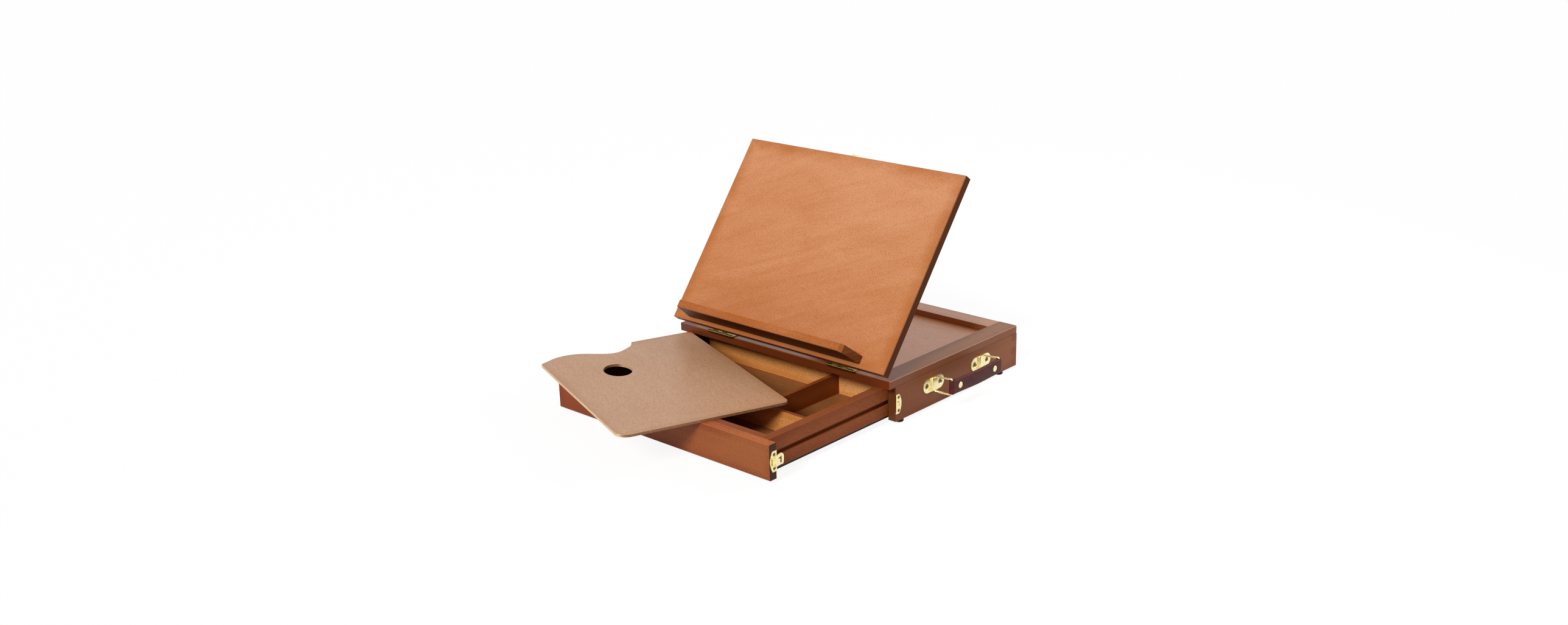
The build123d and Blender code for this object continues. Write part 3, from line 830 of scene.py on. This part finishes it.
class POCHADE_OT_drawer_wood(bpy.types.Operator):
    """Drawer: stained outside, paler walls inside with dark top edges, and a plywood bottom"""

    bl_idname = "pochade.drawer_wood"
    bl_label = "Drawer Wood"

    def execute(self, context):
        wood = context.scene.pochade_wood
        # painted shadow: the drift darkens the drawer front towards its left end, under the palette
        stained_wood(
            "drawer_front",
            wood.front,
            faces=((UP, FRONT_TOP),),
            drift=(-0.9, 0, -0.1),
            end_shade=0.2,
            contrast=1.25,
        )
        # the outward faces take the darker side tone, partly painted shade
        for side, outward in (("left", REAR), ("right", FRONT)):
            tones = ((outward, wood.sides), (UP, WALL_TOP))
            stained_wood(f"drawer_side_{side}", wood.front, turn=LENGTHWISE, faces=tones, shine=0.12)
        # painted shade: the long divider takes a darker tone than the other inner walls
        stained_wood("divider_long", LONG_DIVIDER_IN_SHADE, turn=LENGTHWISE, shine=0.1)
        # painted shadow: the drift darkens the drawer's back wall towards its left, in the shade of the
        # palette and the board; the box front and the cross divider are a little darker towards the right
        for part, drift in (("drawer_box_front", 0.2), ("drawer_back", -1.1), ("divider_cross", 0.2)):
            stained_wood(part, wood.inside, faces=((UP, WALL_TOP),), drift=(drift, 0, 0), shine=0.15)
        # the edges keep the near-black tone, partly painted shade
        tones = ((UP, wood.floor), (UNDER, wood.floor))
        stained_wood("drawer_bottom", PLYWOOD_EDGE_AND_SHADE, faces=tones, wood="plywood")
        return {"FINISHED"}


class POCHADE_OT_palette_wood(bpy.types.Operator):
    """Thin plywood palette with its pale layered edge"""

    bl_idname = "pochade.palette_wood"
    bl_label = "Palette Wood"

    def execute(self, context):
        wood = context.scene.pochade_wood
        stained_wood(
            "palette",
            wood.palette,
            turn=(0, 0, -PALETTE_TURN),
            faces=((FRONT, PALETTE_FRONT_RIM), (LEFT, PALETTE_LEFT_RIM)),
            drift=(0, 0.1, 0),
            end_shade=0.5,
            end_lines=8.0,
            fleck_mm=(5, 0.9),
            relief=1.0,
            gloss=0.36,
            shine=0.4,
            contrast=0.65,
            wood="plywood",
        )
        return {"FINISHED"}


SCREWS = ("case_screws", "board_screws", "drawer_screws")
HINGES = tuple(name for name in NODES if name.startswith("hinge_"))
BRIGHT_BRASS = tuple(
    sorted(
        name
        for name, shape in NODES.items()
        if shape.data.materials
        and shape.data.materials[0].name.startswith("brass")
        and name not in (*SCREWS, *HINGES, "rail_brads")
    )
)


class POCHADE_OT_brass(bpy.types.Operator):
    """Brass plating on the catches, brackets and bails, and darker brass on the hinges, screws and brads"""

    bl_idname = "pochade.brass"
    bl_label = "Brass"

    def execute(self, context):
        handle = context.scene.pochade_handle
        # pale gold that flashes white towards a lamp
        finish_nodes(plated_metal("bright brass plating", handle.brass), *BRIGHT_BRASS)
        # olive brown and quiet, so that the hinges sink into the wood: partly their own aged colour, partly
        # painted shade under the board's lower edge
        finish_nodes(plated_metal("antique brass hinges in painted shade", HINGE_BRASS_AND_SHADE, gloss=0.3), *HINGES)
        # small dark heads, only a little brighter than the hinges
        finish_nodes(plated_metal("dark brass screws", SCREW_BRASS, gloss=0.3), *SCREWS)
        # near-black dots in the rails
        finish_nodes(plated_metal("blackened brads", BLACKENED_STEEL, gloss=0.4), "rail_brads")
        # a plain grey rod
        finish_nodes(plated_metal("zinc plated steel", ZINC_PLATE, gloss=0.3), "prop_pin")
        return {"FINISHED"}


# the middles of the two wires that carry the strap, the height of its own middle, and its width
STRAP_X = 197.63 * MM
STRAP_FRONT = 102.26 * MM
STRAP_REAR = 196.26 * MM
STRAP_HEIGHT = 30.2 * MM
STRAP_WIDTH = 16.4 * MM
STRAP_MIDDLE = (STRAP_FRONT + STRAP_REAR) / 2
# the leather's own middle runs round a wire at this distance, through this angle, in this many steps, and
# the inner ply then lies this far outside the wires' middles
LOOP_MIDDLE = 2.4 * MM
LOOP_TURN = math.radians(200)
LOOP_STEPS = 16
INNER_PLY = 0.1 * MM
# how far the strap bows at its middle, how far along it the bow reaches, the cuts that let it bend, and how
# close to its middle the row of points lies that is drawn out
STRAP_BOW = 0.6 * MM
BOW_REACH = 45 * MM
BOW_CUTS = 25
BOW_ROW = 0.5 * MM
# only the edges of the two plies are longer than this along Y
LONG_RUN = 20 * MM
# the leather's cut edges are rounded by this much where its faces meet at more than the first angle, and
# it is shaded smooth below the second
EDGE_ROUND = 0.5 * MM
ROUND_FROM = math.radians(50)
SMOOTH_BELOW = math.radians(40)
# the seam: the gap between two stitches, the distance from a wire to its end, and half the thread's thickness
STITCH_GAP = 1.1 * MM
SEAM_END = 16.5 * MM
THREAD_RADIUS = 0.5 * MM
# points closer than this are one point
SAME_PLACE = 0.01 * MM


def strap_bow(y):
    """How far the strap stands out and hangs down here: a gentle bow between its two rivets."""
    share = max(0, 1 - abs(y - STRAP_MIDDLE) / BOW_REACH)
    return STRAP_BOW * share**2 * (3 - 2 * share)


class POCHADE_OT_strap(bpy.types.Operator):
    """Leather strap: one long strip taken round both wires and brought back to its own middle"""

    bl_idname = "pochade.strap"
    bl_label = "Strap"

    def execute(self, context):
        handle = context.scene.pochade_handle
        start_clean()
        edge_x = STRAP_X + LOOP_MIDDLE
        bpy.ops.mesh.primitive_plane_add(
            size=1, location=(edge_x, STRAP_MIDDLE, STRAP_HEIGHT), rotation=(0, math.radians(90), 0)
        )
        strap = context.object
        strap.scale = (STRAP_WIDTH, STRAP_REAR - STRAP_FRONT, 1)
        bpy.ops.object.transform_apply(location=True, rotation=True, scale=True)
        bpy.ops.object.mode_set(mode="EDIT")
        for wire, side in ((STRAP_FRONT, -1), (STRAP_REAR, 1)):
            select_edges(
                strap.data,
                lambda middle, edge: abs(middle.y - wire) < SAME_PLACE
                and abs(middle.x - edge_x) < SAME_PLACE
                and abs(edge.verts[0].co.z - edge.verts[1].co.z) > STRAP_WIDTH / 2,
            )
            bpy.ops.mesh.spin(
                steps=LOOP_STEPS,
                angle=-side * LOOP_TURN,
                center=(STRAP_X, wire, STRAP_HEIGHT),
                axis=(0, 0, 1),
            )
            # the loop closes at a slant, and a straight lead takes the leather on to the inner ply's line
            lead = LOOP_TURN - math.pi
            run = (INNER_PLY + LOOP_MIDDLE * math.cos(lead)) / math.sin(lead)
            bpy.ops.mesh.extrude_region_move(
                TRANSFORM_OT_translate={"value": (run * math.sin(lead), -side * run * math.cos(lead), 0)}
            )
            reached = LOOP_MIDDLE * math.sin(lead) + run * math.cos(lead)
            bpy.ops.mesh.extrude_region_move(
                TRANSFORM_OT_translate={"value": (0, STRAP_MIDDLE - (wire - side * reached), 0)}
            )
        bpy.ops.mesh.select_all(action="SELECT")
        bpy.ops.mesh.remove_doubles(threshold=SAME_PLACE)
        bpy.ops.mesh.normals_make_consistent(inside=False)
        select_edges(
            strap.data, lambda middle, edge: abs(edge.verts[0].co.y - edge.verts[1].co.y) > LONG_RUN
        )
        bpy.ops.mesh.subdivide(number_cuts=BOW_CUTS)
        select_points(strap.data, lambda point: abs(point.y - STRAP_MIDDLE) < BOW_ROW)
        bpy.ops.transform.translate(
            value=(STRAP_BOW, 0, -STRAP_BOW),
            use_proportional_edit=True,
            proportional_edit_falloff="SMOOTH",
            proportional_size=BOW_REACH,
        )
        bpy.ops.object.mode_set(mode="OBJECT")
        wall = strap.modifiers.new("Solidify", "SOLIDIFY")
        wall.thickness = handle.thickness
        wall.offset = 0
        wall.use_even_offset = True
        rounded = strap.modifiers.new("Bevel", "BEVEL")
        rounded.width = EDGE_ROUND
        rounded.segments = 3
        rounded.angle_limit = ROUND_FROM
        apply_modifiers(strap)
        bpy.ops.object.shade_smooth_by_angle(angle=SMOOTH_BELOW)
        settle(strap, "leather_strap")
        strap.data.materials.append(dyed_leather("burnished burgundy leather", handle.leather))
        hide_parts("handle_strap")
        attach(strap, "strap")
        return {"FINISHED"}


class POCHADE_OT_stitches(bpy.types.Operator):
    """Row of waxed stitches along the middle of the strap, on both faces"""

    bl_idname = "pochade.stitches"
    bl_label = "Stitches"

    def execute(self, context):
        handle = context.scene.pochade_handle
        start_clean()
        pitch = handle.stitch + STITCH_GAP
        first = STRAP_FRONT + SEAM_END
        last = STRAP_REAR - SEAM_END
        count = int((last - first) / pitch)
        spare = (last - first - count * pitch) / 2
        places = []
        for face_x in (
            STRAP_X + LOOP_MIDDLE + handle.thickness / 2,
            STRAP_X + INNER_PLY - handle.thickness / 2,
        ):
            for turn in range(count):
                middle = first + spare + (turn + 0.5) * pitch
                bow = strap_bow(middle)
                places.append((face_x + bow, middle, STRAP_HEIGHT - bow))

        # one stitch is a small ball drawn out along the strap, and the others are copies of it
        bpy.ops.mesh.primitive_uv_sphere_add(
            segments=10, ring_count=6, radius=THREAD_RADIUS, location=places[0]
        )
        rows = [context.object]
        bpy.ops.object.mode_set(mode="EDIT")
        for end in (-1, 1):
            select_points(rows[0].data, lambda point: point.y * end > SAME_PLACE)
            bpy.ops.transform.translate(value=(0, end * (handle.stitch / 2 - THREAD_RADIUS), 0))
        bpy.ops.object.mode_set(mode="OBJECT")
        for place in places[1:]:
            start_clean()
            rows[0].select_set(True)
            context.view_layer.objects.active = rows[0]
            bpy.ops.object.duplicate(linked=False)
            context.object.location = place
            rows.append(context.object)
        start_clean()
        for stitch in rows:
            stitch.select_set(True)
        context.view_layer.objects.active = rows[0]
        bpy.ops.object.join()
        seam = context.object
        bpy.ops.object.shade_smooth()
        settle(seam, "strap_stitches")
        seam.data.materials.append(waxed_thread("waxed brown thread"))
        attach(seam, "strap")
        return {"FINISHED"}


FLOOR_RADIUS = 9
# where the key light shines from, and how wide it looks
KEY_FROM = Vector((0.12, -0.8, 0.6))
KEY_SPREAD = math.radians(18)
# the soft lamp behind the right corner, and the spot by the handle that it is turned to
REAR_PLACE = Vector((0.46, 0.64, 0.54))
REAR_AIM = Vector((0.15, 0.15, 0.05))
REAR_SIZE = 0.5


class POCHADE_OT_stage(bpy.types.Operator):
    """White studio floor, soft lamps and the camera"""

    bl_idname = "pochade.stage"
    bl_label = "Stage"

    def execute(self, context):
        stage = context.scene.pochade_stage
        start_clean()
        bpy.ops.mesh.primitive_circle_add(
            vertices=96, radius=FLOOR_RADIUS, fill_type="NGON", location=(0, 0, 0)
        )
        floor = settle(context.object, "studio_floor")
        floor.data.materials.append(self.floor_material())
        self.light_world(context, stage.ambient)

        bpy.ops.object.light_add(type="SUN", location=(0, 0, 2))
        key = context.object
        key.name = "key"
        key.data.energy = stage.key * math.pi
        key.data.angle = KEY_SPREAD
        key.rotation_euler = KEY_FROM.to_track_quat("Z", "Y").to_euler()

        # the level that an area lamp gives square to it is its power / (pi x distance) squared
        away = REAR_PLACE - REAR_AIM
        bpy.ops.object.light_add(type="AREA", location=REAR_PLACE)
        rear = context.object
        rear.name = "rear lamp"
        rear.data.size = REAR_SIZE
        rear.data.energy = stage.rear * (math.pi * away.length) ** 2
        rear.rotation_euler = away.to_track_quat("Z", "Y").to_euler()

        bpy.ops.object.camera_add()
        camera = context.object
        camera.name = "camera"
        az, el, roll = CAMERA_AZIMUTH, CAMERA_ELEVATION, CAMERA_ROLL
        back = Vector((math.sin(az) * math.cos(el), -math.cos(az) * math.cos(el), math.sin(el)))
        right = Vector((0, 0, 1)).cross(back).normalized()
        up = back.cross(right)
        across = math.cos(roll) * right + math.sin(roll) * up
        upward = -math.sin(roll) * right + math.cos(roll) * up
        turned = Matrix((across, upward, back)).transposed().to_4x4()
        camera.matrix_world = Matrix.Translation(CAMERA_PLACE) @ turned
        camera.data.sensor_fit = "HORIZONTAL"
        camera.data.sensor_width = SENSOR_WIDTH
        camera.data.lens = CAMERA_LENS
        camera.data.clip_start = CLIP_NEAR
        camera.data.clip_end = CLIP_FAR
        context.scene.camera = camera
        context.scene.view_settings.view_transform = "Standard"
        return {"FINISHED"}

    def floor_material(self):
        """White paper sweep: white to the camera and in reflections, with only a faint shadow on it."""
        made, tree = blank_material("white studio paper")
        paper = add_node(tree, "ShaderNodeBsdfDiffuse", {"Color": linear(STUDIO_PAPER)})
        faint = add_node(tree, "ShaderNodeBsdfDiffuse", {"Color": (0.12, 0.12, 0.12, 1)})
        white = add_node(tree, "ShaderNodeEmission", {"Color": (1, 1, 1, 1), "Strength": 0.9})
        shown = add_node(tree, "ShaderNodeAddShader", {"Shader": faint, "Shader_001": white})
        seen = self.seen_rays(tree)
        shader = add_node(tree, "ShaderNodeMixShader", {"Fac": seen, "Shader": paper, "Shader_001": shown})
        add_node(tree, "ShaderNodeOutputMaterial", {"Surface": shader})
        return made

    def seen_rays(self, tree):
        """1 for a ray from the camera, a reflection or a transmission, and 0 for one of plain light."""
        camera = add_node(tree, "ShaderNodeLightPath", out="Is Camera Ray")
        glossy = add_node(tree, "ShaderNodeLightPath", out="Is Glossy Ray")
        through = add_node(tree, "ShaderNodeLightPath", out="Is Transmission Ray")
        seen = add_node(tree, "ShaderNodeMath", {"Value": camera, "Value_001": glossy}, operation="MAXIMUM")
        return add_node(tree, "ShaderNodeMath", {"Value": seen, "Value_001": through}, operation="MAXIMUM")

    def light_world(self, context, ambient):
        """Soft light from all round, and plain white where the camera or a reflection looks at it."""
        world = bpy.data.worlds.new("studio")
        world.use_nodes = True
        tree = world.node_tree
        tree.nodes.clear()
        seen = self.seen_rays(tree)
        strength = add_node(tree, "ShaderNodeMapRange", {"Value": seen, "To Min": ambient, "To Max": 1.0})
        shader = add_node(tree, "ShaderNodeBackground", {"Color": (1, 1, 1, 1), "Strength": strength})
        add_node(tree, "ShaderNodeOutputWorld", {"Surface": shader})
        context.scene.world = world


class POCHADE_PT_panel(bpy.types.Panel):
    bl_idname = "POCHADE_PT_panel"
    bl_label = "Pochade Box"
    bl_space_type = "VIEW_3D"
    bl_region_type = "UI"
    bl_category = "Pochade Box"

    def draw(self, context):
        layout, scene = self.layout, context.scene
        for settings in (scene.pochade_wood, scene.pochade_handle, scene.pochade_stage):
            box = layout.box()
            for name in settings.__annotations__:
                box.prop(settings, name)
        for operator in OPERATORS:
            layout.operator(operator.bl_idname)


OPERATORS = (
    POCHADE_OT_case_wood,
    POCHADE_OT_board_wood,
    POCHADE_OT_drawer_wood,
    POCHADE_OT_palette_wood,
    POCHADE_OT_brass,
    POCHADE_OT_strap,
    POCHADE_OT_stitches,
    POCHADE_OT_stage,
)
SETTINGS = (PochadeWoodSettings, PochadeHandleSettings, PochadeStageSettings)


def register():
    for made in (*SETTINGS, *OPERATORS, POCHADE_PT_panel):
        bpy.utils.register_class(made)
    bpy.types.Scene.pochade_wood = bpy.props.PointerProperty(type=PochadeWoodSettings)
    bpy.types.Scene.pochade_handle = bpy.props.PointerProperty(type=PochadeHandleSettings)
    bpy.types.Scene.pochade_stage = bpy.props.PointerProperty(type=PochadeStageSettings)


def unregister():
    del bpy.types.Scene.pochade_stage
    del bpy.types.Scene.pochade_handle
    del bpy.types.Scene.pochade_wood
    for made in reversed((*SETTINGS, *OPERATORS, POCHADE_PT_panel)):
        bpy.utils.unregister_class(made)


def main():
    register()
    bpy.ops.pochade.case_wood()
    bpy.ops.pochade.board_wood()
    bpy.ops.pochade.drawer_wood()
    bpy.ops.pochade.palette_wood()
    bpy.ops.pochade.brass()
    bpy.ops.pochade.strap()
    bpy.ops.pochade.stitches()
    bpy.ops.pochade.stage()


if __name__ == "__main__":
    main()
